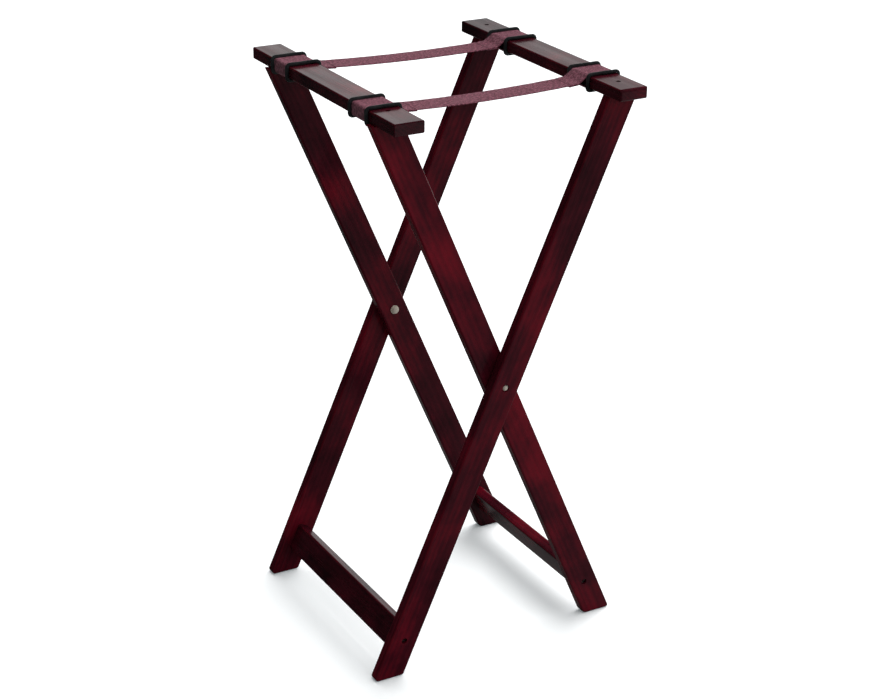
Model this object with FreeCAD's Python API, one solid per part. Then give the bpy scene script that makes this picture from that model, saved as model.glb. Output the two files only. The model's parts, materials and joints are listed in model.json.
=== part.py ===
import FreeCAD, Part
import math
import os

# Folding tray stand: two wooden frames that cross like scissors and turn on two pivot bolts.
# Two webbing straps tie the top rails together and stop the frames when they are open.
# The outer frame has the right top rail, two outer legs and the lower left stretcher.
# The inner frame has the left top rail, two inner legs and the lower right stretcher.
# Millimetres. +X runs from the left rail to the right rail, -Y is the front, +Z is up.
# The origin is on the floor, straight below the pivots and half way between front and rear.

# Overall sizes, with the stand open
stand_height = 787.0            # floor to the top faces of the rails
outer_frame_width = 346.0       # over the outer faces of the two outer legs
foot_spread = 346.6             # between the legs' centre lines at the floor
top_spread = 331.0              # between the legs' centre lines under the rails

# Top rails
rail_width = 42.0
rail_thickness = 16.0
rail_setback = 4.3              # rail's centre line, inwards from the tops of its legs
rail_overhang = 29.0            # past the outer face of each outer leg
rail_round = 2.0                # long edges of both rails, which the straps and rings go round
left_rail_end_round = 1.5
right_rail_end_round = 3.5

# Legs
leg_width = 40.0
leg_thickness = 16.0
leg_gap = 2.4                   # between an outer leg and the inner leg beside it
leg_round = 2.5                 # every edge except those of the top cut
outer_heel_round = 4.0          # corner of the foot that points away from the stand
outer_toe_round = 5.0
inner_heel_round = 3.0
inner_toe_round = 9.0           # corner of the foot that points under the stand

# Stretchers
stretcher_width = 40.0
stretcher_thickness = 16.0
stretcher_height = 52.8         # floor to the stretcher's centre line
stretcher_round = 2.5

# Pivots
bolt_radius = 3.2
bolt_running_clearance = 0.06   # radial, in the inner leg, which turns on the bolt
bolt_fixed_clearance = 0.02     # radial, in the outer leg and the washers
bolt_head_rim = 1.0             # head, past the shank all round
bolt_head_height = 3.4
head_recess_margin = 1.0        # recess in the outer leg, past the head all round
head_recess_depth = 2.6
washer_rim = 3.1                # washer, past the bolt all round
washer_thickness = 1.4
washer_clearance = 0.2          # along the bolt, between a turning leg and a washer
cap_wall = 2.0                  # cap nut's wall round the bolt
cap_skirt = 2.6                 # straight part of the cap nut, as far as the bolt reaches
cap_dome = 2.2                  # domed end of the cap nut

# Screws: through the rail into the leg, and through the leg into the stretcher
rail_screw_radius = 1.9
rail_screw_length = 36.0
rail_screw_head_radius = 3.0
rail_screw_sink = 5.0
stretcher_screw_radius = 2.1
stretcher_screw_length = 42.0
stretcher_screw_head_radius = 3.7
stretcher_screw_sink = 4.0
screw_head_height = 2.6
screw_point = 4.0               # length of the tapered end
screw_slot_width = 1.0
screw_slot_depth = 1.2
screw_clearance = 0.1           # radial, around the shank
head_clearance = 0.3            # radial, around the head

# Webbing straps
webbing_width = 38.0
webbing_thickness = 1.5
loop_clearance = 0.1            # between the webbing and the rail that it goes round
strap_drop = 9.5                # from the top of the rails to the strap's centre plane
seam_length = 26.0              # the webbing is double from the rail to here
strap_gap = 0.2                 # between lengths of one strap that turn on each other
strap_fold_x = 2.05             # where the strap folds, so that it hangs straight when closed
strap_split_x = -70.0           # where the half sewn to the left rail ends
rear_strap_inset_left = 3.1     # from the inner leg's inner face to the nearest rubber ring
rear_strap_inset_right = 17.1
front_strap_inset_left = 1.0
front_strap_inset_right = 6.1

# Rubber rings
ring_cord_radius = 2.5
ring_clearance = 0.1            # between the ring and the rail
ring_side_clearance = 0.6       # between the ring and the webbing beside it

# Worked out from the sizes above
leg_top = stand_height - rail_thickness
half_foot = foot_spread / 2
half_top = top_spread / 2
lean = (half_top + half_foot) / leg_top
lean_angle = math.atan(lean)
leg_half_level = leg_width / 2 / math.cos(lean_angle)
pivot_z = half_foot / lean
stretcher_drop = (pivot_z - stretcher_height) / math.cos(lean_angle)
outer_leg_y = outer_frame_width / 2 - leg_thickness / 2
inner_leg_y = outer_leg_y - leg_thickness - leg_gap
outer_leg_inside = outer_leg_y - leg_thickness / 2
inner_leg_inside = inner_leg_y - leg_thickness / 2
bolt_head_radius = bolt_radius + bolt_head_rim
head_recess_radius = bolt_head_radius + head_recess_margin
washer_radius = bolt_radius + washer_rim
cap_radius = bolt_radius + bolt_fixed_clearance + cap_wall
bolt_seat = outer_frame_width / 2 - head_recess_depth
inner_washer_start = inner_leg_inside - washer_clearance
cap_start = inner_washer_start - washer_thickness
bolt_end = cap_start - cap_skirt
rail_length = outer_frame_width + 2 * rail_overhang
rail_x = half_top - rail_setback
rail_z = stand_height - rail_thickness / 2
strap_z = stand_height - strap_drop
loop_reach = rail_width / 2 + loop_clearance + webbing_thickness
strap_hinge_x = rail_x - loop_reach
ring_offset = webbing_width / 2 + ring_side_clearance + ring_cord_radius
strap_line_y = inner_leg_inside - ring_offset - ring_cord_radius

OUTER = 1                       # the outer legs lean to +X as they rise
INNER = -1
FRONT = -1
REAR = 1
LEFT = -1
RIGHT = 1
foot_rounds = {
    OUTER: (outer_heel_round, outer_toe_round),
    INNER: (inner_heel_round, inner_toe_round),
}
X_AXIS = FreeCAD.Vector(1, 0, 0)
Y_AXIS = FreeCAD.Vector(0, 1, 0)
Z_AXIS = FreeCAD.Vector(0, 0, 1)
ALONG_AXIS = 0.999              # smallest cosine that counts as parallel


def vec(x, y, z):
    return FreeCAD.Vector(x, y, z)


def edge_direction(edge):
    start = edge.Vertexes[0].Point
    end = edge.Vertexes[-1].Point
    return (end - start).normalize()


def edges_along(shape, direction, wanted=lambda middle: True):
    """Straight edges parallel to a direction whose middle is wanted."""
    found = []
    for edge in shape.Edges:
        if edge.Curve.TypeId != "Part::GeomLine":
            continue
        if abs(edge_direction(edge).dot(direction)) < ALONG_AXIS:
            continue
        if wanted(edge.CenterOfMass):
            found.append(edge)
    return found


def block(size_x, size_y, size_z, centre):
    corner = centre - vec(size_x / 2, size_y / 2, size_z / 2)
    return Part.makeBox(size_x, size_y, size_z, corner)


def rod(radius, start, end):
    return Part.makeCylinder(radius, (end - start).Length, start, end - start)


def leg_centre(family, z):
    return family * (z * lean - half_foot)


def point_down_leg(family, distance):
    """Point on the leg's centre line, this far below the pivot."""
    across = -family * distance * math.sin(lean_angle)
    return vec(across, 0, pivot_z - distance * math.cos(lean_angle))


# Wooden pieces

def leg_blank(family, y):
    outline = []
    for z, side in ((0, -1), (0, 1), (leg_top, 1), (leg_top, -1)):
        outline.append(vec(leg_centre(family, z) + side * leg_half_level, y - leg_thickness / 2, z))
    board = Part.Face(Part.makePolygon(outline + outline[:1])).extrude(Y_AXIS * leg_thickness)
    foot_x = leg_centre(family, 0)
    for radius, side in zip(foot_rounds[family], (-family, family)):
        corner = edges_along(board, Y_AXIS, lambda m: m.z < leg_round and (m.x - foot_x) * side > 0)
        board = board.makeFillet(radius, corner)
    rim = [e for e in board.Edges if abs(abs(e.CenterOfMass.y - y) - leg_thickness / 2) < 0.01]
    eased = [e for e in rim if e.CenterOfMass.z < leg_top - 1]
    return board.makeFillet(leg_round, eased)


def outer_leg(side):
    y = side * outer_leg_y
    outer_face = y + side * leg_thickness / 2
    pivot = vec(0, y, pivot_z)
    through = Y_AXIS * side * leg_thickness
    board = leg_blank(OUTER, y)
    board = board.cut(rod(bolt_radius + bolt_fixed_clearance, pivot - through, pivot + through))
    recess_floor = vec(0, outer_face - side * head_recess_depth, pivot_z)
    board = board.cut(rod(head_recess_radius, recess_floor, recess_floor + through))
    board = board.cut(stretcher_screw_hole(OUTER, side, outer_face))
    return board.cut(rail_screw_hole(RIGHT, y))


def inner_leg(side):
    y = side * inner_leg_y
    pivot = vec(0, y, pivot_z)
    through = Y_AXIS * side * leg_thickness
    board = leg_blank(INNER, y)
    board = board.cut(rod(bolt_radius + bolt_running_clearance, pivot - through, pivot + through))
    board = board.cut(stretcher_screw_hole(INNER, side, y + side * leg_thickness / 2))
    return board.cut(rail_screw_hole(LEFT, y))


def end_rims(board):
    """Every edge that lies in one of the two end faces of a rail."""
    return [e for e in board.Edges if abs(abs(e.CenterOfMass.y) - rail_length / 2) < 0.01]


def top_rail(side, leg_y, end_round):
    """A rail with the larger of its two roundings made first, as a router would leave it."""
    board = block(rail_width, rail_length, rail_thickness, vec(side * rail_x, 0, rail_z))
    if end_round > rail_round:
        board = board.makeFillet(end_round, edges_along(board, X_AXIS) + edges_along(board, Z_AXIS))
        board = board.makeFillet(rail_round, edges_along(board, Y_AXIS))
    else:
        board = board.makeFillet(rail_round, edges_along(board, Y_AXIS))
        board = board.makeFillet(end_round, end_rims(board))
    for y in (leg_y, -leg_y):
        board = board.cut(rail_screw_hole(side, y))
    return board


def stretcher(family, leg_inside):
    middle = point_down_leg(family, stretcher_drop)
    board = block(stretcher_thickness, 2 * leg_inside, stretcher_width, middle)
    board = board.makeFillet(stretcher_round, edges_along(board, Y_AXIS))
    board.rotate(middle, Y_AXIS, family * math.degrees(lean_angle))
    for side in (FRONT, REAR):
        leg_outside = side * (leg_inside + leg_thickness)
        board = board.cut(stretcher_screw_hole(family, side, leg_outside))
    return board


# Screws and their holes

def screw(head_radius, shank_radius, length):
    """Countersunk screw that points down, with its head's top face at the origin."""
    profile = [
        vec(0, 0, 0),
        vec(head_radius, 0, 0),
        vec(head_radius, 0, -screw_head_height / 3),
        vec(shank_radius, 0, -screw_head_height),
        vec(shank_radius, 0, screw_point - length),
        vec(0, 0, -length),
    ]
    body = Part.Face(Part.makePolygon(profile + profile[:1])).revolve(vec(0, 0, 0), Z_AXIS, 360)
    arm = 1.3 * head_radius
    slot_centre = vec(0, 0, -screw_slot_depth / 2)
    body = body.cut(block(arm, screw_slot_width, screw_slot_depth, slot_centre))
    return body.cut(block(screw_slot_width, arm, screw_slot_depth, slot_centre))


def screw_hole(head_radius, shank_radius, length, sink):
    """Counterbore and pilot hole for that screw, open above the origin."""
    seat = rod(head_radius + head_clearance, vec(0, 0, -screw_head_height), vec(0, 0, 2 * sink))
    pilot = rod(shank_radius + screw_clearance, vec(0, 0, -length), vec(0, 0, 0))
    return seat.fuse(pilot)


def at_rail(shape, side, y):
    shape.translate(vec(side * rail_x, y, stand_height - rail_screw_sink))
    return shape


def at_stretcher(shape, family, side, leg_outside):
    """Turn a screw or its hole to point inwards, at the end of a stretcher."""
    shape.rotate(vec(0, 0, 0), X_AXIS, -90 * side)
    shape.translate(point_down_leg(family, stretcher_drop))
    shape.translate(vec(0, leg_outside - side * stretcher_screw_sink, 0))
    return shape


def rail_screw_hole(side, y):
    hole = screw_hole(rail_screw_head_radius, rail_screw_radius, rail_screw_length, rail_screw_sink)
    return at_rail(hole, side, y)


def stretcher_screw_hole(family, side, leg_outside):
    hole = screw_hole(stretcher_screw_head_radius, stretcher_screw_radius,
                      stretcher_screw_length, stretcher_screw_sink)
    return at_stretcher(hole, family, side, leg_outside)


def rail_screws(side, leg_y):
    screws = []
    for y in (-leg_y, leg_y):
        one = screw(rail_screw_head_radius, rail_screw_radius, rail_screw_length)
        screws.append(at_rail(one, side, y))
    return Part.makeCompound(screws)


def stretcher_screws(family, leg_inside):
    screws = []
    for side in (FRONT, REAR):
        one = screw(stretcher_screw_head_radius, stretcher_screw_radius, stretcher_screw_length)
        screws.append(at_stretcher(one, family, side, side * (leg_inside + leg_thickness)))
    return Part.makeCompound(screws)


# Pivot hardware. Each piece is turned about the bolt's axis, from the outer face inwards.

def dome(radius, height):
    """Flat-bottomed dome that rises along +Z from the origin."""
    ball_radius = (radius ** 2 + height ** 2) / (2 * height)
    ball = Part.makeSphere(ball_radius, vec(0, 0, height - ball_radius))
    return ball.common(rod(radius + 1, vec(0, 0, 0), vec(0, 0, height + 1)))


def place_on_pivot(shape, side, y, inwards):
    """Lay a shape that points along +Z on the pivot's axis, with its foot at this distance."""
    turn = 90 * side if inwards else -90 * side
    shape.rotate(vec(0, 0, 0), X_AXIS, turn)
    shape.translate(vec(0, side * y, pivot_z))
    return shape


def pivot_bolt(side):
    head = dome(bolt_head_radius, bolt_head_height)
    shank = rod(bolt_radius, vec(0, 0, bolt_end - bolt_seat), vec(0, 0, 0))
    return place_on_pivot(head.fuse(shank).removeSplitter(), side, bolt_seat, False)


def washer(side, y, thickness):
    hole_radius = bolt_radius + bolt_fixed_clearance
    disc = rod(washer_radius, vec(0, 0, 0), vec(0, 0, thickness))
    ring = disc.cut(rod(hole_radius, vec(0, 0, -1), vec(0, 0, thickness + 1)))
    return place_on_pivot(ring, side, y, True)


def pivot_cap(side):
    end = dome(cap_radius, cap_dome)
    end.translate(vec(0, 0, cap_skirt))
    body = rod(cap_radius, vec(0, 0, 0), vec(0, 0, cap_skirt)).fuse(end).removeSplitter()
    bore = rod(bolt_radius + bolt_fixed_clearance, vec(0, 0, -1), vec(0, 0, cap_skirt))
    return place_on_pivot(body.cut(bore), side, cap_start, True)


# Webbing and rubber rings

def rounded_outline(half_x, half_z, radius, centre):
    """Closed wire, a rectangle with round corners in the XZ plane."""
    bend = radius * math.sqrt(0.5)
    edges = []
    for sx, sz, next_sx, next_sz in ((1, 1, -1, 1), (-1, 1, -1, -1), (-1, -1, 1, -1), (1, -1, 1, 1)):
        corner = centre + vec(sx * (half_x - radius), 0, sz * (half_z - radius))
        to_side = vec(sx * radius, 0, 0)
        to_top = vec(0, 0, sz * radius)
        before, after = (to_side, to_top) if next_sx != sx else (to_top, to_side)
        middle = corner + vec(sx * bend, 0, sz * bend)
        edges.append(Part.Arc(corner + before, middle, corner + after).toShape())
        far = centre + vec(next_sx * (half_x - radius), 0, next_sz * (half_z - radius))
        edges.append(Part.LineSegment(corner + after, far + after).toShape())
    return Part.Wire(edges)


def strap_loop(side, y):
    """The end of a strap where it goes right round a rail."""
    centre = vec(side * rail_x, y - webbing_width / 2, rail_z)
    solids = []
    for grow in (loop_clearance + webbing_thickness, loop_clearance):
        wire = rounded_outline(rail_width / 2 + grow, rail_thickness / 2 + grow, rail_round + grow, centre)
        solids.append(Part.Face(wire).extrude(Y_AXIS * webbing_width))
    return solids[0].cut(solids[1])


def strap_y(x, y_left, y_right):
    """A strap may lie a little askew: its centre line runs straight from rail to rail."""
    share = (x + strap_hinge_x) / (2 * strap_hinge_x)
    return y_left + (y_right - y_left) * share


def strap_length(x_start, x_end, y_left, y_right, thickness):
    outline = []
    for x, edge in ((x_start, -1), (x_end, -1), (x_end, 1), (x_start, 1)):
        y = strap_y(x, y_left, y_right) + edge * webbing_width / 2
        outline.append(vec(x, y, strap_z - thickness / 2))
    return Part.Face(Part.makePolygon(outline + outline[:1])).extrude(Z_AXIS * thickness)


def strap_run(x_start, x_end, seam_end, y_left, y_right):
    """A length of strap, double where it is sewn back on itself beside the rail."""
    run = strap_length(x_start, x_end, y_left, y_right, webbing_thickness)
    if seam_end:
        rail_end = x_start if abs(x_start) > abs(x_end) else x_end
        ends = sorted((rail_end, seam_end))
        run = run.fuse(strap_length(ends[0], ends[1], y_left, y_right, 2 * webbing_thickness))
    return run.removeSplitter()


def rubber_ring(side, y):
    reach = ring_clearance + ring_cord_radius
    centre = vec(side * rail_x, y, rail_z)
    half_x = rail_width / 2 + reach
    path = rounded_outline(half_x, rail_thickness / 2 + reach, rail_round + reach, centre)
    start = centre + vec(half_x, 0, 0)
    cord = Part.Wire(Part.Circle(start, Z_AXIS, ring_cord_radius).toShape())
    starts_at_cord = Part.Wire(path_from(path, start))
    return starts_at_cord.makePipeShell([cord], True, True)


def path_from(path, start):
    """The edges of a closed path in order, beginning in the middle of one straight edge."""
    edges = path.OrderedEdges
    first = [e for e in edges if (e.CenterOfMass - start).Length < 0.01][0]
    index = [e.isSame(first) for e in edges].index(True)
    order = edges[index + 1:] + edges[:index]
    next_point = joint_point(first, order[0])
    last_point = joint_point(first, order[-1])
    opening = Part.LineSegment(start, next_point).toShape()
    closing = Part.LineSegment(last_point, start).toShape()
    return [opening] + order + [closing]


def joint_point(edge, neighbour):
    """The end that two edges share."""
    ends = [v.Point for v in edge.Vertexes]
    others = [v.Point for v in neighbour.Vertexes]
    return min(ends, key=lambda p: min((p - q).Length for q in others))


def add_straps(parts):
    lines = {
        "rear": (strap_line_y - rear_strap_inset_left, strap_line_y - rear_strap_inset_right),
        "front": (front_strap_inset_left - strap_line_y, front_strap_inset_right - strap_line_y),
    }
    seam = strap_hinge_x - seam_length
    half_gap = strap_gap / 2
    for name, (y_left, y_right) in lines.items():
        lengths = {
            "left": (-strap_hinge_x + half_gap, strap_split_x - half_gap, -seam),
            "middle": (strap_split_x + half_gap, strap_fold_x - half_gap, None),
            "right": (strap_fold_x + half_gap, strap_hinge_x - half_gap, seam),
        }
        for part, (x_start, x_end, seam_end) in lengths.items():
            run = strap_run(x_start, x_end, seam_end, y_left, y_right)
            parts[name + "_strap_" + part + "_length"] = run
        for side, side_name, y in ((LEFT, "left", y_left), (RIGHT, "right", y_right)):
            parts[name + "_strap_" + side_name + "_loop"] = strap_loop(side, y)
            for edge, edge_name in ((FRONT, "front"), (REAR, "rear")):
                ring_name = side_name + "_rail_ring_" + name + "_strap_" + edge_name + "_edge"
                parts[ring_name] = rubber_ring(side, y + edge * ring_offset)


def build():
    parts = {
        "right_top_rail": top_rail(RIGHT, outer_leg_y, right_rail_end_round),
        "left_top_rail": top_rail(LEFT, inner_leg_y, left_rail_end_round),
        "lower_left_stretcher": stretcher(OUTER, outer_leg_inside),
        "lower_right_stretcher": stretcher(INNER, inner_leg_inside),
        "right_rail_screws": rail_screws(RIGHT, outer_leg_y),
        "left_rail_screws": rail_screws(LEFT, inner_leg_y),
        "left_stretcher_screws": stretcher_screws(OUTER, outer_leg_inside),
        "right_stretcher_screws": stretcher_screws(INNER, inner_leg_inside),
    }
    for side, name in ((FRONT, "front"), (REAR, "rear")):
        parts["outer_leg_" + name] = outer_leg(side)
        parts["inner_leg_" + name] = inner_leg(side)
        parts["pivot_bolt_" + name] = pivot_bolt(side)
        parts["pivot_spacer_washer_" + name] = washer(side, outer_leg_inside, leg_gap - washer_clearance)
        parts["pivot_inner_washer_" + name] = washer(side, inner_washer_start, washer_thickness)
        parts["pivot_cap_nut_" + name] = pivot_cap(side)
    add_straps(parts)
    return parts


os.makedirs("parts", exist_ok=True)
for node, shape in build().items():
    shape.exportStep(os.path.join("parts", node + ".step"))
    print(node, "solids", len(shape.Solids), "valid", shape.isValid(), "volume", round(shape.Volume, 1))
print("strap hinges at x", strap_hinge_x, "z", strap_z, "pivot z", round(pivot_z, 3))
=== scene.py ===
# %% [markdown]
# # A folding tray stand
# A waiter's stand is two wooden frames that cross like scissors. Two webbing straps tie the top rails
# together, and black rubber rings round the rails keep a tray from sliding.
# The wood and the hardware already exist as an exact model. Here they get their finish, and the soft
# pieces, which no solid model describes well, are made afresh round them.

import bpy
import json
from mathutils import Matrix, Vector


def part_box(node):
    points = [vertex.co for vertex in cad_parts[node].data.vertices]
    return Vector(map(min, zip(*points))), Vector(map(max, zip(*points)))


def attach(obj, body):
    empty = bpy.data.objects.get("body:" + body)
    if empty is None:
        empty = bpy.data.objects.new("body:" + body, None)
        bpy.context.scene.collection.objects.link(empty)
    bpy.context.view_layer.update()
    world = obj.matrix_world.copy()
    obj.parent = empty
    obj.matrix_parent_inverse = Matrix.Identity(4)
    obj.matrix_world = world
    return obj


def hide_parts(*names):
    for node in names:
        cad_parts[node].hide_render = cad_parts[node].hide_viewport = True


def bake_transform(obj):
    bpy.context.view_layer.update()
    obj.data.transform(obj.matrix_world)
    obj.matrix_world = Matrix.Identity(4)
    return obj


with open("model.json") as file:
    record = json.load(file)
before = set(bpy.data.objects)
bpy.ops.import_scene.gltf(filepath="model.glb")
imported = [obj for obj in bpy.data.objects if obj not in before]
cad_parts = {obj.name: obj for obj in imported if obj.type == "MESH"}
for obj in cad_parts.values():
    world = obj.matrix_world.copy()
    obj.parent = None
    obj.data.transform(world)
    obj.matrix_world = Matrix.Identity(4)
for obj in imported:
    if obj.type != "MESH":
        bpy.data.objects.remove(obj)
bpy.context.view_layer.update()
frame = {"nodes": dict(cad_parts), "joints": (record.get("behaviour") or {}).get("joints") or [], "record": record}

# %% [markdown]
# ## Measures taken from the frame
# Nothing is placed by eye. Each position below is read from a board, a strap or a joint, so the soft
# pieces still fit if the stand is made in another size.

# %% Read the rails, the straps and the joints
import json
import math

import bpy
from mathutils import Matrix, Vector

MM = 0.001
LEFT, RIGHT = -1, 1
STRAPS = ("front", "rear")
SIDE_NAMES = {LEFT: "left", RIGHT: "right"}


def middle_of(node):
    low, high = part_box(node)
    return (low + high) / 2


def size_of(node):
    low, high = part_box(node)
    return high - low


joints = {joint["name"]: Vector(joint["pos_m"]) for joint in frame["joints"]}
rail_size = size_of("right_top_rail")
rail_middle = {side: middle_of(SIDE_NAMES[side] + "_top_rail") for side in (LEFT, RIGHT)}
rail_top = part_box("right_top_rail")[1].z
hinge_x = joints["strap_right_drop"].x
webbing_width = size_of("front_strap_right_loop").y
loop_y = {(s, side): middle_of(s + "_strap_" + SIDE_NAMES[side] + "_loop").y
          for s in STRAPS for side in (LEFT, RIGHT)}
print("rail", [round(v / MM, 1) for v in rail_size], "webbing", round(webbing_width / MM, 1), "mm wide")

# %% Small helpers
def deselect_all():
    for item in bpy.context.selected_objects:
        item.select_set(False)
    bpy.context.view_layer.objects.active = None


def only(item):
    """Make this the one selected and active object, which is what operators act on."""
    deselect_all()
    item.select_set(True)
    bpy.context.view_layer.objects.active = item


def apply_modifiers(item):
    only(item)
    for modifier in list(item.modifiers):
        bpy.ops.object.modifier_apply(modifier=modifier.name)


def triangles(item):
    return sum(len(face.vertices) - 2 for face in item.data.polygons)


deselect_all()

# %% [markdown]
# ## The camera
# A long lens from above and to the left, as in a catalogue. The direction is kept as
# yaw, pitch and a very small roll.

# %% Camera
camera_place = Vector((-1.2348, -2.1770, 1.4649))
yaw, pitch, roll = 0.5196, 0.4078, 0.0126
ahead = Vector((math.sin(yaw) * math.cos(pitch), math.cos(yaw) * math.cos(pitch), -math.sin(pitch)))
right = ahead.cross(Vector((0, 0, 1))).normalized()
up = right.cross(ahead)
turned_right = math.cos(roll) * right + math.sin(roll) * up
turned_up = -math.sin(roll) * right + math.cos(roll) * up
camera_data = bpy.data.cameras.new("catalogue_camera")
camera_data.sensor_width = 36.0
camera_data.lens = 79.08
camera = bpy.data.objects.new("catalogue_camera", camera_data)
bpy.context.scene.collection.objects.link(camera)
camera.matrix_world = Matrix.Translation(camera_place) @ Matrix(
    (turned_right, turned_up, -ahead)).transposed().to_4x4()
bpy.context.scene.camera = camera
print("camera is", round(camera_place.length, 2), "m from the origin")

# %% [markdown]
# ## Node helpers
# A material is a small program of nodes. These helpers add one node and wire it in one line, so that
# the recipes further down read like sums.

# %% Helpers for node trees
def is_socket(value):
    return isinstance(value, bpy.types.NodeSocket)


def feed(tree, socket, value):
    if is_socket(value):
        tree.links.new(value, socket)
    else:
        socket.default_value = value


def calculate(tree, operation, first, second=0.0, clamp=False):
    node = tree.nodes.new("ShaderNodeMath")
    node.operation = operation
    node.use_clamp = clamp
    feed(tree, node.inputs[0], first)
    feed(tree, node.inputs[1], second)
    return node.outputs[0]


def stretch(tree, vector, factors):
    node = tree.nodes.new("ShaderNodeVectorMath")
    node.operation = "MULTIPLY"
    feed(tree, node.inputs[0], vector)
    node.inputs[1].default_value = factors
    return node.outputs[0]


def noise(tree, vector, factors, seed=0.0, detail=3.0, roughness=0.55):
    """Noise with its own number of features per metre along each axis."""
    node = tree.nodes.new("ShaderNodeTexNoise")
    node.noise_dimensions = "4D"
    feed(tree, node.inputs["Vector"], stretch(tree, vector, factors))
    feed(tree, node.inputs["W"], seed)
    node.inputs["Scale"].default_value = 1.0
    node.inputs["Detail"].default_value = detail
    node.inputs["Roughness"].default_value = roughness
    return node.outputs["Fac"]


def between(tree, value, low, high, out_low=0.0, out_high=1.0):
    node = tree.nodes.new("ShaderNodeMapRange")
    node.interpolation_type = "SMOOTHSTEP"
    feed(tree, node.inputs["Value"], value)
    node.inputs["From Min"].default_value = low
    node.inputs["From Max"].default_value = high
    node.inputs["To Min"].default_value = out_low
    node.inputs["To Max"].default_value = out_high
    return node.outputs["Result"]


def blend_colours(tree, factor, first, second, how="MIX"):
    node = tree.nodes.new("ShaderNodeMix")
    node.data_type = "RGBA"
    node.blend_type = how
    feed(tree, node.inputs[0], factor)
    feed(tree, node.inputs[6], first)
    feed(tree, node.inputs[7], second)
    return node.outputs[2]


def new_group(name, inputs, outputs):
    group = bpy.data.node_groups.new(name, "ShaderNodeTree")
    for label, kind in inputs:
        group.interface.new_socket(label, in_out="INPUT", socket_type=kind)
    for label, kind in outputs:
        group.interface.new_socket(label, in_out="OUTPUT", socket_type=kind)
    return group, group.nodes.new("NodeGroupInput"), group.nodes.new("NodeGroupOutput")


def place_group(tree, group, **values):
    node = tree.nodes.new("ShaderNodeGroup")
    node.node_tree = group
    for label, value in values.items():
        feed(tree, node.inputs[label.replace("_", " ")], value)
    return node


def new_material(name):
    material = bpy.data.materials.new(name)
    material.use_nodes = True
    return material, material.node_tree, material.node_tree.nodes["Principled BSDF"]


def raise_by(tree, shader, height, distance, strength=1.0):
    bump = tree.nodes.new("ShaderNodeBump")
    bump.inputs["Strength"].default_value = strength
    bump.inputs["Distance"].default_value = distance
    tree.links.new(height, bump.inputs["Height"])
    tree.links.new(bump.outputs["Normal"], shader.inputs["Normal"])


VECTOR, FLOAT, COLOUR = "NodeSocketVector", "NodeSocketFloat", "NodeSocketColor"

# %% [markdown]
# ## Wood grain
# Stained mahogany shows three things at once: wide blotches where the stain soaked in unevenly, long
# streaks along the grain, and growth rings. The rings are real cylinders round a pith beside the board,
# so the ends of a rail show end grain without being told to. The pattern is solid, in the board's own
# directions: x along the board, y across its width, z through its thickness.

# %% Group: mahogany figure
figure, given, result = new_group(
    "mahogany_figure",
    [("Board", VECTOR), ("Seed", FLOAT), ("Tone", FLOAT)],
    [("Color", COLOUR), ("Pores", FLOAT), ("Streaks", FLOAT)])
board, seed = given.outputs["Board"], given.outputs["Seed"]
blotches = noise(figure, board, (11.0, 17.0, 17.0), seed, 4.0, 0.58)
streaks = noise(figure, board, (7.0, 170.0, 170.0), seed, 4.0, 0.60)
rings = figure.nodes.new("ShaderNodeTexWave")
rings.wave_type = "RINGS"
rings.rings_direction = "X"
shift = figure.nodes.new("ShaderNodeVectorMath")
shift.operation = "ADD"
feed(figure, shift.inputs[0], stretch(figure, board, (0.12, 1.0, 1.0)))
shift.inputs[1].default_value = (0.0, 0.031, -0.052)
feed(figure, rings.inputs["Vector"], shift.outputs[0])
rings.inputs["Scale"].default_value = 62.0
rings.inputs["Distortion"].default_value = 3.4
rings.inputs["Detail"].default_value = 3.0
rings.inputs["Detail Scale"].default_value = 0.6
depth = calculate(figure, "ADD", calculate(figure, "MULTIPLY", blotches, 0.85),
                  calculate(figure, "MULTIPLY", streaks, 0.10))
depth = calculate(figure, "ADD", depth, calculate(figure, "MULTIPLY", rings.outputs["Fac"], 0.05))
# Tone shifts the whole board lighter or darker; set per board, it is partly painted light and shade.
depth = calculate(figure, "ADD", depth, given.outputs["Tone"])
ramp = figure.nodes.new("ShaderNodeValToRGB")
ramp.color_ramp.elements[0].position = 0.30
ramp.color_ramp.elements[0].color = (0.0100, 0.0010, 0.0028, 1)
ramp.color_ramp.elements[1].position = 0.73
ramp.color_ramp.elements[1].color = (0.150, 0.0042, 0.0125, 1)
stain = ramp.color_ramp.elements.new(0.50)
stain.color = (0.048, 0.0030, 0.0080, 1)
feed(figure, ramp.inputs["Fac"], depth)
pores = between(figure, noise(figure, board, (55.0, 1500.0, 1500.0), seed, 2.0), 0.60, 0.70)
darkened = blend_colours(figure, calculate(figure, "MULTIPLY", pores, 0.35),
                         ramp.outputs["Color"], (0.006, 0.0006, 0.001, 1))
feed(figure, result.inputs["Color"], darkened)
feed(figure, result.inputs["Pores"], pores)
feed(figure, result.inputs["Streaks"], streaks)
print("mahogany_figure has", len(figure.nodes), "nodes")

# %% [markdown]
# ## Rubbed edges and painted edge highlights
# Where a hand or a tray rubs a board, the stain thins along the long edges first. The lighter red there
# also stands in for the highlight that light draws along the rounded edges, so it is partly a painted
# highlight. The mask is measured from the board's own size: it is high only where a point is close to
# the edge of the width and of the thickness together.

# %% Group: edge rub and painted edge highlight
edge_wear_and_highlight, given, result = new_group(
    "edge_wear_and_highlight",
    [("Board", VECTOR), ("Half Width", FLOAT), ("Half Thickness", FLOAT), ("Seed", FLOAT)],
    [("Mask", FLOAT)])
parts = edge_wear_and_highlight.nodes.new("ShaderNodeSeparateXYZ")
feed(edge_wear_and_highlight, parts.inputs[0], given.outputs["Board"])


def nearness(tree, coordinate, half_size):
    """0 well inside the board and 1 at its face, over the last few millimetres."""
    inside = calculate(tree, "SUBTRACT", half_size, calculate(tree, "ABSOLUTE", coordinate))
    return between(tree, inside, 0.0, 3.2 * MM, 1.0, 0.0)


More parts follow.
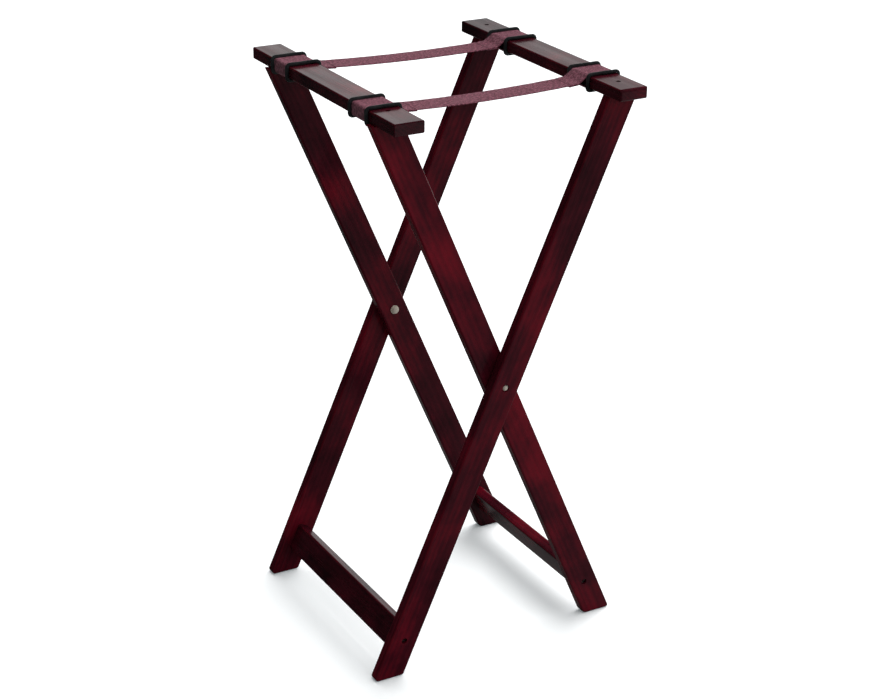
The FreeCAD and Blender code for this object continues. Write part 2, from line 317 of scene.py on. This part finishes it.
corner = calculate(edge_wear_and_highlight, "MULTIPLY",
                   nearness(edge_wear_and_highlight, parts.outputs["Y"], given.outputs["Half Width"]),
                   nearness(edge_wear_and_highlight, parts.outputs["Z"], given.outputs["Half Thickness"]))
patchy = between(edge_wear_and_highlight, noise(edge_wear_and_highlight, given.outputs["Board"], (38.0, 60.0, 60.0),
                                 given.outputs["Seed"], 4.0), 0.40, 0.66)
feed(edge_wear_and_highlight, result.inputs["Mask"],
     calculate(edge_wear_and_highlight, "MULTIPLY", corner, calculate(edge_wear_and_highlight, "ADD", 0.25, patchy), True))

# %% [markdown]
# ## A lacquered board
# Every board has the same recipe but its own direction, size and seed. A Mapping node set to Texture
# undoes the board's place and lean, and hands the groups the board's own coordinates.

# %% Material: lacquered mahogany
# Lighter red for edges where the stain wears thin; it also serves as a painted highlight along them.
WORN_EDGE_AND_HIGHLIGHT = (0.150, 0.008, 0.012, 1)


def lacquered_mahogany(name, centre, turn, width, thickness, tone, gloss, number):
    material, tree, shader = new_material("mahogany_" + name)
    place = tree.nodes.new("ShaderNodeTexCoord")
    mapping = tree.nodes.new("ShaderNodeMapping")
    mapping.vector_type = "TEXTURE"
    mapping.inputs["Location"].default_value = centre
    mapping.inputs["Rotation"].default_value = turn
    feed(tree, mapping.inputs["Vector"], place.outputs["Object"])
    here = mapping.outputs["Vector"]
    wood = place_group(tree, figure, Board=here, Seed=3.7 * number, Tone=tone)
    rub = place_group(tree, edge_wear_and_highlight, Board=here, Half_Width=width / 2, Half_Thickness=thickness / 2,
                      Seed=1.9 * number)
    # Lighter colour along the edges: worn stain and a painted highlight together.
    edge_wear_highlight_share = calculate(tree, "MULTIPLY", rub.outputs["Mask"], 0.25)
    feed(tree, shader.inputs["Base Color"], blend_colours(tree, edge_wear_highlight_share, wood.outputs["Color"], WORN_EDGE_AND_HIGHLIGHT))
    bands = noise(tree, here, (4.0, 75.0, 75.0), 5.1 * number, 3.0)
    polish = between(tree, bands, 0.30, 0.70, 0.30, 0.22)
    feed(tree, shader.inputs["Roughness"], polish)
    feed(tree, shader.inputs["Coat Weight"], between(tree, bands, 0.30, 0.70, 0.40 * gloss, gloss))
    shader.inputs["Coat Roughness"].default_value = 0.10
    shader.inputs["IOR"].default_value = 1.46
    shader.inputs["Specular IOR Level"].default_value = 0.30 * gloss + 0.10
    relief = calculate(tree, "SUBTRACT", calculate(tree, "MULTIPLY", wood.outputs["Streaks"], 0.5),
                       wood.outputs["Pores"])
    raise_by(tree, shader, relief, 0.05 * MM, 0.20)
    return material


# %% [markdown]
# ### How each board lies
# The rails run along y. The legs lean, and their direction is read from a foot and the pivot. A board's
# width and thickness are measured along its own directions, since its box would be too large.

# %% Find how each board lies
foot = next(Vector(mount["pos_m"]) for mount in frame["record"]["mounts"]
            if mount["name"] == "outer_leg_front_foot")
uphill = {"outer": (joints["fold"] - Vector((foot.x, 0, 0))).normalized()}
uphill["inner"] = Vector((-uphill["outer"].x, 0, uphill["outer"].z))
along_y = Vector((0, 1, 0))


def board_turn(along, across):
    """Turn that takes x to the board's length, y to its width and z to its thickness."""
    return Matrix((along, across, along.cross(across))).transposed().to_euler()


def sideways(direction):
    """Square to a leg's own length, in the plane in which the stand folds."""
    return direction.cross(along_y)


def spread(node, direction):
    """Size of a board along a direction that isn't one of the frame's own."""
    reach = [vertex.co.dot(direction) for vertex in frame["nodes"][node].data.vertices]
    return max(reach) - min(reach)


print("legs lean", round(math.degrees(math.atan2(uphill["outer"].x, uphill["outer"].z)), 2), "degrees")

# %% Give each board its finish
# Each row: the board, its length's direction, its width's direction, a tone that makes the whole board
# lighter or darker, and how glossy its lacquer. The tone is set board by board to how lit each board
# looks, so it paints light and shade as well as the stain.
across_rail = Vector((-1, 0, 0))
board_list = [
    ("right_top_rail", along_y, across_rail, -0.11, 0.42),
    ("left_top_rail", along_y, across_rail, -0.05, 0.62),
    ("lower_left_stretcher", along_y, uphill["outer"], -0.06, 0.50),
    ("lower_right_stretcher", along_y, uphill["inner"], 0.01, 0.55),
    ("outer_leg_front", uphill["outer"], sideways(uphill["outer"]), 0.01, 0.14),
    ("outer_leg_rear", uphill["outer"], sideways(uphill["outer"]), 0.0, 0.16),
    ("inner_leg_front", uphill["inner"], sideways(uphill["inner"]), 0.07, 0.14),
    ("inner_leg_rear", uphill["inner"], sideways(uphill["inner"]), 0.0, 0.16),
]
for number, (node, along, across, tone, gloss) in enumerate(board_list, 1):
    width, thickness = spread(node, across), spread(node, along.cross(across))
    material = lacquered_mahogany(node, middle_of(node), board_turn(along, across), width, thickness,
                                  tone, gloss, number)
    mesh = frame["nodes"][node].data
    mesh.materials.clear()
    mesh.materials.append(material)
    print(node, "is", round(width / MM, 1), "mm wide and", round(thickness / MM, 1), "mm thick")

# %% [markdown]
# ## The floor and the light
# The floor is a white sheet. A large soft sun shines from behind and to the right, and the sky is
# brighter on that side, so the faces turned to the left stay almost black. Gloss needs something to
# reflect: the sky has one bright side behind and to the right, which draws the pale tops of the rails.
# A white floor would mirror in every lacquered face and bounce light up from all round. So mirror rays
# find it dark except far behind, and diffuse rays find it grey.

# %% Floor
bpy.ops.mesh.primitive_plane_add(size=1.0, location=(0, 0, 0))
floor = bpy.context.object
floor.name = "floor"
floor.data.transform(Matrix.Translation((0.6, 4.0, -0.0004)) @ Matrix.Diagonal((24.0, 16.0, 1.0, 1.0)))
floor_paint, tree, shader = new_material("white_sweep")
ground = tree.nodes.new("ShaderNodeSeparateXYZ")
feed(tree, ground.inputs[0], tree.nodes.new("ShaderNodeTexCoord").outputs["Object"])
rays = tree.nodes.new("ShaderNodeLightPath").outputs
far_right = calculate(tree, "MULTIPLY", between(tree, ground.outputs["Y"], 0.8, 1.6),
                      between(tree, ground.outputs["X"], -0.2, 0.6))
mirror_tone = calculate(tree, "ADD", between(tree, ground.outputs["X"], -0.25, 0.25, 0.012, 0.15),
                        calculate(tree, "MULTIPLY", far_right, 0.6))
paper = blend_colours(tree, rays["Is Diffuse Ray"], (0.92, 0.925, 0.93, 1), (0.30, 0.30, 0.30, 1))
feed(tree, shader.inputs["Base Color"], blend_colours(tree, rays["Is Glossy Ray"], paper, mirror_tone))
feed(tree, shader.inputs["Emission Color"],
     blend_colours(tree, rays["Is Camera Ray"], (0, 0, 0, 1), (0.100, 0.118, 0.122, 1)))
shader.inputs["Emission Strength"].default_value = 1.0
shader.inputs["Roughness"].default_value = 0.9
shader.inputs["Specular IOR Level"].default_value = 0.0
floor.data.materials.append(floor_paint)
deselect_all()

# %% Sun and sky
sun_from = Vector((0.52, 0.34, 0.78)).normalized()
sun_data = bpy.data.lights.new("soft_overhead", "SUN")
sun_data.energy = 2.3
sun_data.angle = math.radians(48)
sun = bpy.data.objects.new("soft_overhead", sun_data)
bpy.context.scene.collection.objects.link(sun)
sun.rotation_mode = "QUATERNION"
sun.rotation_quaternion = sun_from.to_track_quat("Z", "Y")
sun.visible_glossy = False

world = bpy.data.worlds.new("studio")
world.use_nodes = True
bpy.context.scene.world = world
sky = world.node_tree
sky.nodes.clear()
direction = sky.nodes.new("ShaderNodeTexCoord").outputs["Generated"]


def facing(tree, vector, toward):
    """Cosine between a direction and the way toward a light."""
    node = tree.nodes.new("ShaderNodeVectorMath")
    node.operation = "DOT_PRODUCT"
    feed(tree, node.inputs[0], vector)
    node.inputs[1].default_value = Vector(toward).normalized()
    return node.outputs["Value"]


panel = between(sky, facing(sky, direction, (0.5, 0.8, 0.1)), 0.82, 0.95, 0.008, 0.62)
ambient = between(sky, facing(sky, direction, (0.75, -0.25, 0.60)), -0.45, 0.85, 0.02, 1.25)
path = sky.nodes.new("ShaderNodeLightPath")
strength = blend_colours(sky, path.outputs["Is Glossy Ray"], ambient, panel)
strength = blend_colours(sky, path.outputs["Is Camera Ray"], strength, (1.0, 1.0, 1.0, 1))
background = sky.nodes.new("ShaderNodeBackground")
feed(sky, background.inputs["Color"], strength)
background.inputs["Strength"].default_value = 1.0
sky.links.new(background.outputs[0], sky.nodes.new("ShaderNodeOutputWorld").inputs["Surface"])
bpy.context.scene.view_settings.view_transform = "Standard"

# %% [markdown]
# ## Webbing
# The straps are flat woven webbing. A band is laid along a path, with a UV map in metres: u along the
# strap, v across it, so the weave keeps its size and follows every bend. Solidify then gives it its
# thickness and a bevel rounds the selvedges.

# %% Group: plain weave
weave, given, result = new_group(
    "plain_weave",
    [("Along and Across", VECTOR), ("Yarn", FLOAT)],
    [("Height", FLOAT), ("Warp", FLOAT), ("Gap", FLOAT)])
cell = weave.nodes.new("ShaderNodeSeparateXYZ")
feed(weave, cell.inputs[0], given.outputs["Along and Across"])
along = calculate(weave, "DIVIDE", cell.outputs["X"], given.outputs["Yarn"])
across = calculate(weave, "DIVIDE", cell.outputs["Y"], given.outputs["Yarn"])
parity = calculate(weave, "ADD", calculate(weave, "FLOOR", along), calculate(weave, "FLOOR", across))
warp_up = calculate(weave, "PINGPONG", parity, 1.0)


def yarn_round(tree, coordinate):
    """1 on the middle of a yarn, falling to 0 at its edges."""
    local = calculate(tree, "SUBTRACT", calculate(tree, "FRACT", coordinate), 0.5)
    return calculate(tree, "COSINE", calculate(tree, "MULTIPLY", local, math.pi))


warp_shape = yarn_round(weave, across)
weft_shape = yarn_round(weave, along)
long_side = calculate(weave, "MULTIPLY", warp_up, warp_shape)
cross_side = calculate(weave, "MULTIPLY", calculate(weave, "SUBTRACT", 1.0, warp_up), weft_shape)
top = calculate(weave, "ADD", long_side, cross_side)
crossing = calculate(weave, "MULTIPLY", warp_shape, weft_shape)
weave_height = calculate(weave, "ADD", calculate(weave, "MULTIPLY", top, 0.6),
                         calculate(weave, "MULTIPLY", crossing, 0.4))
feed(weave, result.inputs["Height"], weave_height)
feed(weave, result.inputs["Warp"], warp_up)
# Gap is 1 in the low places between yarns, where the webbing paints shade.
feed(weave, result.inputs["Gap"], between(weave, weave_height, 0.10, 0.45, 1.0, 0.0))

# %% Material: burgundy webbing
YARN = 1.5 * MM


def burgundy_webbing():
    material, tree, shader = new_material("burgundy_webbing")
    uv = tree.nodes.new("ShaderNodeUVMap")
    uv.uv_map = "strap"
    woven = place_group(tree, weave, Along_and_Across=uv.outputs["UV"], Yarn=YARN)
    fibre = noise(tree, uv.outputs["UV"], (1400.0, 3200.0, 1.0), 2.0, 2.0)
    faded = noise(tree, uv.outputs["UV"], (26.0, 60.0, 1.0), 4.0, 3.0)
    mottle = between(tree, noise(tree, uv.outputs["UV"], (280.0, 360.0, 1.0), 7.0, 2.0), 0.44, 0.62)
    yarns = blend_colours(tree, woven.outputs["Warp"], (0.034, 0.003, 0.010, 1), (0.160, 0.026, 0.052, 1))
    yarns = blend_colours(tree, calculate(tree, "MULTIPLY", mottle, 0.85), yarns,
                          (0.370, 0.118, 0.170, 1))
    yarns = blend_colours(tree, between(tree, faded, 0.35, 0.70, 0.0, 0.15), yarns,
                          (0.340, 0.150, 0.190, 1))
    yarns = blend_colours(tree, calculate(tree, "MULTIPLY", fibre, 0.35), yarns,
                          (0.115, 0.030, 0.048, 1))
    # Painted shade: the low places between the yarns are darkened.
    gap_shade = calculate(tree, "MULTIPLY", woven.outputs["Gap"], 0.85)
    feed(tree, shader.inputs["Base Color"], blend_colours(tree, gap_shade, yarns, (0.026, 0.006, 0.010, 1)))
    feed(tree, shader.inputs["Roughness"], between(tree, fibre, 0.3, 0.7, 0.62, 0.86))
    shader.inputs["Sheen Weight"].default_value = 0.10
    shader.inputs["Sheen Roughness"].default_value = 0.45
    shader.inputs["Specular IOR Level"].default_value = 0.25
    raise_by(tree, shader, calculate(tree, "ADD", woven.outputs["Height"],
                                     calculate(tree, "MULTIPLY", fibre, 0.18)), 0.28 * MM, 0.9)
    return material


webbing_material = burgundy_webbing()

# %% [markdown]
# ## The strap's path
# Seen from the end of a rail, a strap comes in from the middle, its two layers part at the seam, go
# round the rail above and below, and meet again. The path is that line, as points in x and z, written
# for the right rail and mirrored for the left. Between the rails the strap sags by about three
# millimetres.

# %% Path of a strap's end
WEBBING = 1.35 * MM
ROUND = 2.0 * MM
LOOP_OFFSET = 0.88 * MM
SAG = 3.0 * MM
RUN_DROP = 9.0 * MM
seam_outer = hinge_x - 10.6 * MM
seam_inner = hinge_x - 26.6 * MM
loop_z = rail_middle[RIGHT].z
half_rail = Vector((rail_size.x / 2, 0, rail_size.z / 2))


def run_z(x):
    """Height of the strap's middle layer, which sags between its two seams."""
    share = min(1.0, abs(x) / seam_outer)
    return rail_top - RUN_DROP - SAG * (1 - share * share)


def arc(centre, radius, start, stop, steps=7):
    points = []
    for step in range(steps + 1):
        angle = math.radians(start + (stop - start) * step / steps)
        points.append((centre[0] + radius * math.cos(angle), centre[1] + radius * math.sin(angle)))
    return points


def strap_end_path(inner_x):
    """From the tail's cut end, round the right rail, and in to inner_x."""
    radius = ROUND + LOOP_OFFSET
    centre_x = abs(rail_middle[RIGHT].x)
    reach_x = half_rail.x - ROUND
    reach_z = half_rail.z - ROUND
    near, far = centre_x - reach_x, centre_x + reach_x
    low, high = loop_z - reach_z, loop_z + reach_z
    lower = run_z(seam_outer) - WEBBING / 2
    upper = run_z(seam_outer) + WEBBING / 2
    path = [(seam_inner, run_z(seam_inner) - WEBBING * 1.02), (seam_outer, lower)]
    path += arc((near, low), radius, 220, 270)
    path += arc((far, low), radius, 270, 360)
    path += arc((far, high), radius, 0, 90)
    path += arc((near, high), radius, 90, 140)
    path += [(seam_outer, upper), (seam_inner, run_z(seam_inner) + WEBBING * 0.02)]
    steps = 6
    for step in range(1, steps + 1):
        x = seam_inner + (inner_x - seam_inner) * step / steps
        path.append((x, run_z(x)))
    return path


def even_points(path, spacing):
    """The same line as points a fixed distance apart."""
    lengths = [math.dist(a, b) for a, b in zip(path, path[1:])]
    total = sum(lengths)
    count = max(2, round(total / spacing))
    points = []
    for step in range(count + 1):
        goal = total * step / count
        index = 0
        while index < len(lengths) - 1 and goal > lengths[index]:
            goal -= lengths[index]
            index += 1
        share = min(1.0, goal / lengths[index])
        points.append(tuple(a + (b - a) * share for a, b in zip(path[index], path[index + 1])))
    return points, total


# %% Lay a band along a path
COLUMNS = 10


def strap_line_y(strap, x):
    """A strap lies a little askew between its two loops."""
    left, right = loop_y[(strap, LEFT)], loop_y[(strap, RIGHT)]
    share = min(1.0, max(0.0, (x + hinge_x) / (2 * hinge_x)))
    return left + (right - left) * share


def lay_band(name, points, side, strap, number):
    """A flat woven band whose centre follows the points, with a UV map in metres."""
    vertices, uvs = [], []
    travelled = 0.0
    for index, (x, z) in enumerate(points):
        if index:
            travelled += math.dist(points[index - 1], points[index])
        wobble = 0.22 * MM * math.sin(travelled * 210 + number) + 0.12 * MM * math.sin(travelled * 540)
        for column in range(COLUMNS + 1):
            v = (column / COLUMNS - 0.5) * webbing_width
            edge = abs(2 * column / COLUMNS - 1) ** 6
            y = strap_line_y(strap, side * x) + v + wobble * edge * (1 if v > 0 else -0.7)
            vertices.append((side * x, y, z))
            uvs.append((travelled, v + webbing_width))
    faces = []
    row = COLUMNS + 1
    for index in range(len(points) - 1):
        for column in range(COLUMNS):
            corner = index * row + column
            face = (corner, corner + 1, corner + 1 + row, corner + row)
            faces.append(face if side > 0 else face[::-1])
    mesh = bpy.data.meshes.new(name)
    mesh.from_pydata(vertices, [], faces)
    layer = mesh.uv_layers.new(name="strap")
    for loop in mesh.loops:
        layer.data[loop.index].uv = uvs[loop.vertex_index]
    band = bpy.data.objects.new(name, mesh)
    bpy.context.scene.collection.objects.link(band)
    thicken = band.modifiers.new("thickness", "SOLIDIFY")
    thicken.thickness = WEBBING
    thicken.offset = 0.0
    thicken.use_even_offset = True
    soften = band.modifiers.new("selvedge", "BEVEL")
    soften.width = 0.45 * MM
    soften.segments = 2
    soften.limit_method = "ANGLE"
    soften.angle_limit = math.radians(60)
    apply_modifiers(band)
    bpy.ops.object.shade_smooth_by_angle(angle=math.radians(50))
    band.data.materials.append(webbing_material)
    return band


# %% [markdown]
# ## Stitches
# Each seam is a box with a cross, sewn in dark thread. One stitch is a small rounded bead; it is copied
# along the seam's lines, above and below, and all of a seam's stitches are one piece.

# %% Thread
STITCH = 2.3 * MM
STITCH_GAP = 0.6 * MM
STITCH_WIDTH = 1.25 * MM
STITCH_HEIGHT = 0.85 * MM


def dark_thread():
    material, tree, shader = new_material("dark_thread")
    place = tree.nodes.new("ShaderNodeTexCoord").outputs["Object"]
    ply = noise(tree, place, (2600.0, 2600.0, 2600.0), 1.0, 2.0)
    feed(tree, shader.inputs["Base Color"],
         blend_colours(tree, ply, (0.010, 0.001, 0.003, 1), (0.036, 0.005, 0.010, 1)))
    feed(tree, shader.inputs["Roughness"], between(tree, ply, 0.3, 0.7, 0.45, 0.7))
    raise_by(tree, shader, ply, 0.05 * MM, 0.6)
    return material


thread_material = dark_thread()
bpy.ops.mesh.primitive_uv_sphere_add(segments=8, ring_count=5, radius=0.5, location=(0, 0, 0))
bead = bpy.context.object
bead_points = [vertex.co.copy() for vertex in bead.data.vertices]
bead_faces = [tuple(face.vertices) for face in bead.data.polygons]
bpy.data.objects.remove(bead)


def stitch_line(start, stop):
    """Middle and direction of each stitch on a straight seam line, in the strap's plane."""
    length = (stop - start).length
    count = max(1, round(length / (STITCH + STITCH_GAP)))
    direction = (stop - start) / length
    return [(start + direction * length * (index + 0.5) / count, direction) for index in range(count)]


def sew_seam(name, side, strap):
    inner, outer = seam_inner + 1.4 * MM, seam_outer - 0.6 * MM
    edge = webbing_width / 2 - 2.4 * MM
    corners = [Vector(c) for c in ((inner, -edge), (outer, -edge), (outer, edge), (inner, edge))]
    lines = list(zip(corners, corners[1:] + corners[:1]))
    lines += [(corners[0], corners[2]), (corners[1], corners[3])]
    vertices, faces = [], []
    for start, stop in lines:
        for middle, direction in stitch_line(start, stop):
            for face_side in (1, -1):
                lift = WEBBING * (0.52 if face_side > 0 else -1.52)
                base = len(vertices)
                for point in bead_points:
                    long_way = direction * point.x * STITCH
                    cross_way = Vector((-direction.y, direction.x)) * point.y * STITCH_WIDTH
                    spot = middle + long_way + cross_way
                    x = side * spot.x
                    height = run_z(spot.x) + lift + point.z * STITCH_HEIGHT
                    vertices.append((x, strap_line_y(strap, x) + spot.y, height))
                faces += [tuple(base + i for i in (f if side > 0 else f[::-1])) for f in bead_faces]
    mesh = bpy.data.meshes.new(name)
    mesh.from_pydata(vertices, [], faces)
    mesh.polygons.foreach_set("use_smooth", [True] * len(mesh.polygons))
    seam = bpy.data.objects.new(name, mesh)
    bpy.context.scene.collection.objects.link(seam)
    seam.data.materials.append(thread_material)
    return seam


# %% [markdown]
# ## Three bands for each strap
# The stand folds, and its straps hang down between the rails. So each strap is made as three bands:
# one round each rail, and one in the middle.

# %% Make the straps
middle_joint_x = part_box("front_strap_left_length")[1].x
right_joint_x = 0.060


def hang(band, seam, strap):
    for piece in (band, seam):
        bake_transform(piece)


def make_strap(strap, number):
    for side, inner_x in ((RIGHT, right_joint_x), (LEFT, -middle_joint_x)):
        name = strap + "_strap_" + SIDE_NAMES[side]
        points, length = even_points(strap_end_path(inner_x), 1.4 * MM)
        band = lay_band(name + "_end_webbing", points, side, strap, number + side)
        seam = sew_seam(name + "_box_stitching", side, strap)
        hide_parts(name + "_loop", name + "_length")
        hang(band, seam, strap)
        print(band.name, "length", round(length / MM, 1), "mm", triangles(band), "triangles")
    path = [(right_joint_x + (middle_joint_x - right_joint_x) * i / 20, 0) for i in range(21)]
    path = [(x, run_z(x)) for x, z in path]
    points, length = even_points(path, 1.2 * MM)
    band = lay_band(strap + "_strap_middle_webbing", points, RIGHT, strap, number + 5)
    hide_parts(strap + "_strap_middle_length")
    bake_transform(band)
    print(band.name, "length", round(length / MM, 1), "mm", triangles(band), "triangles")


for number, strap in enumerate(STRAPS):
    make_strap(strap, number * 3)

# %% [markdown]
# ## Rubber rings
# Each ring is a loop of round rubber cord stretched over the rail. The section is a circle, swept by
# hand: extruded along each side, then spun through a quarter turn at each corner.

# %% Material: black rubber
def black_rubber():
    material, tree, shader = new_material("black_rubber")
    place = tree.nodes.new("ShaderNodeTexCoord").outputs["Object"]
    bloom = noise(tree, place, (90.0, 90.0, 90.0), 3.0, 4.0)
    grit = noise(tree, place, (1700.0, 1700.0, 1700.0), 6.0, 3.0)
    colour = blend_colours(tree, between(tree, bloom, 0.40, 0.75, 0.0, 0.5),
                           (0.010, 0.012, 0.013, 1), (0.034, 0.040, 0.042, 1))
    feed(tree, shader.inputs["Base Color"], colour)
    feed(tree, shader.inputs["Roughness"], between(tree, bloom, 0.3, 0.7, 0.26, 0.40))
    raise_by(tree, shader, grit, 0.06 * MM, 0.5)
    return material


rubber_material = black_rubber()

# %% Model one ring
RUBBER = 2.5 * MM
ring_reach = RUBBER + 0.1 * MM
corner_radius = ROUND + ring_reach


def model_ring():
    """A ring about the middle of a rail, in the plane across it."""
    half_x = half_rail.x + ring_reach
    half_z = half_rail.z + ring_reach
    bpy.ops.mesh.primitive_circle_add(vertices=18, radius=RUBBER, location=(half_x, 0, 0))
    ring = bpy.context.object
    bpy.ops.object.transform_apply(location=True, rotation=True, scale=True)
    bpy.ops.object.mode_set(mode="EDIT")
    bpy.ops.mesh.select_all(action="SELECT")
    side_steps = 4
    flat_steps = 10
    reach_x, reach_z = half_x - corner_radius, half_z - corner_radius
    for steps, move, centre in (
            (side_steps, Vector((0, 0, reach_z)), (reach_x, 0, reach_z)),
            (flat_steps, Vector((-2 * reach_x, 0, 0)), (-reach_x, 0, reach_z)),
            (side_steps, Vector((0, 0, -2 * reach_z)), (-reach_x, 0, -reach_z)),
            (flat_steps, Vector((2 * reach_x, 0, 0)), (reach_x, 0, -reach_z)),
            (side_steps, Vector((0, 0, reach_z)), None)):
        for step in range(steps):
            bpy.ops.mesh.extrude_region_move(TRANSFORM_OT_translate={"value": move / steps})
        if centre:
            bpy.ops.mesh.spin(steps=7, angle=math.radians(90), center=centre, axis=(0, 1, 0))
    bpy.ops.mesh.select_all(action="SELECT")
    bpy.ops.mesh.remove_doubles(threshold=0.00002)
    bpy.ops.mesh.normals_make_consistent(inside=False)
    bpy.ops.object.mode_set(mode="OBJECT")
    bpy.ops.object.shade_smooth()
    return ring


ring_pattern = model_ring()
ring_low = [min(v.co[k] for v in ring_pattern.data.vertices) for k in range(3)]
ring_high = [max(v.co[k] for v in ring_pattern.data.vertices) for k in range(3)]
print("ring spans", [round((b - a) / MM, 2) for a, b in zip(ring_low, ring_high)], "mm",
      triangles(ring_pattern), "triangles")

# %% Place the rings
def place_ring(side, strap, edge, number):
    node = SIDE_NAMES[side] + "_rail_ring_" + strap + "_strap_" + edge + "_edge"
    ring = bpy.data.objects.new(node + "_cord", ring_pattern.data.copy())
    bpy.context.scene.collection.objects.link(ring)
    centre = middle_of(node)
    slant = 0.30 * MM * math.sin(2.3 * number)
    for vertex in ring.data.vertices:
        x, z = vertex.co.x, vertex.co.z
        drift = slant * z / half_rail.z + 0.22 * MM * math.sin(160 * x + 1.7 * number)
        swell = 1 + 0.03 * math.sin(120 * x + 90 * z + number)
        vertex.co.y = vertex.co.y * swell + drift
    ring.data.transform(Matrix.Translation(centre))
    ring.data.materials.append(rubber_material)
    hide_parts(node)
    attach(ring, "outer_frame" if side > 0 else "inner_frame")


number = 0
for side in (LEFT, RIGHT):
    for strap in STRAPS:
        for edge in ("front", "rear"):
            number += 1
            place_ring(side, strap, edge, number)
bpy.data.objects.remove(ring_pattern)
print("rings placed", number)

# %% [markdown]
# ## Metal
# The pivots are nickel plated and the screws plain zinc, dulled. Both are metals with fine scratches
# in every direction and a little tarnish, which shows most as a change of roughness. The nickel is only
# partly metallic, because the surroundings that it would mirror are mostly dark.

# %% Materials: nickel and zinc
def worn_metal(name, bright, dull, smooth, rough, metallic):
    material, tree, shader = new_material(name)
    place = tree.nodes.new("ShaderNodeTexCoord").outputs["Object"]
    tarnish = noise(tree, place, (420.0, 420.0, 420.0), 2.0, 4.0)
    scratches = noise(tree, place, (900.0, 5200.0, 2400.0), 7.0, 2.0)
    feed(tree, shader.inputs["Base Color"],
         blend_colours(tree, between(tree, tarnish, 0.42, 0.72), bright, dull))
    shader.inputs["Metallic"].default_value = metallic
    feed(tree, shader.inputs["Roughness"], between(tree, tarnish, 0.3, 0.7, smooth, rough))
    raise_by(tree, shader, scratches, 0.02 * MM, 0.5)
    return material


nickel = worn_metal("nickel_plate", (0.80, 0.74, 0.64, 1), (0.58, 0.52, 0.44, 1), 0.22, 0.38, 0.45)
zinc = worn_metal("dull_zinc", (0.30, 0.29, 0.28, 1), (0.14, 0.13, 0.12, 1), 0.40, 0.62, 1.0)
metal_count = 0
for node, item in frame["nodes"].items():
    if node.startswith("pivot") or node.endswith("screws"):
        item.data.materials.clear()
        item.data.materials.append(zinc if node.endswith("screws") else nickel)
        metal_count += 1
print("metal nodes", metal_count)
